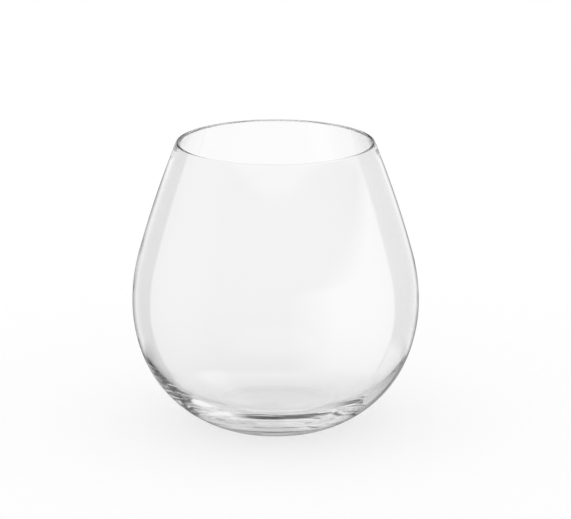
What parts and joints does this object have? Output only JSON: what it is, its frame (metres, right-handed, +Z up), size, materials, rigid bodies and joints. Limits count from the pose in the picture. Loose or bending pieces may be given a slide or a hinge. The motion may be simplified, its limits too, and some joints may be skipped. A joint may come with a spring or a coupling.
{
  "type": "stemless wine glass",
  "caption": "Clear stemless wine glass: a full round bowl that draws in to a thin fire-polished rim, standing on a thick, slightly hollowed base.",
  "frame": {"origin": "centre of the ring that the glass stands on, in the plane of the table", "axes": "+Z up along the axis of revolution; X and Y are free, because the glass is round"},
  "size_m": [0.1, 0.1, 0.1],
  "materials": {
    "clear_glass": "clear soda-lime glass, blown in a turned mould and fire-polished"
  },
  "bodies": {
    "root": {"rim": "clear_glass", "upper_bowl": "clear_glass", "lower_bowl": "clear_glass", "base": "clear_glass"}
  },
  "joints": []
}
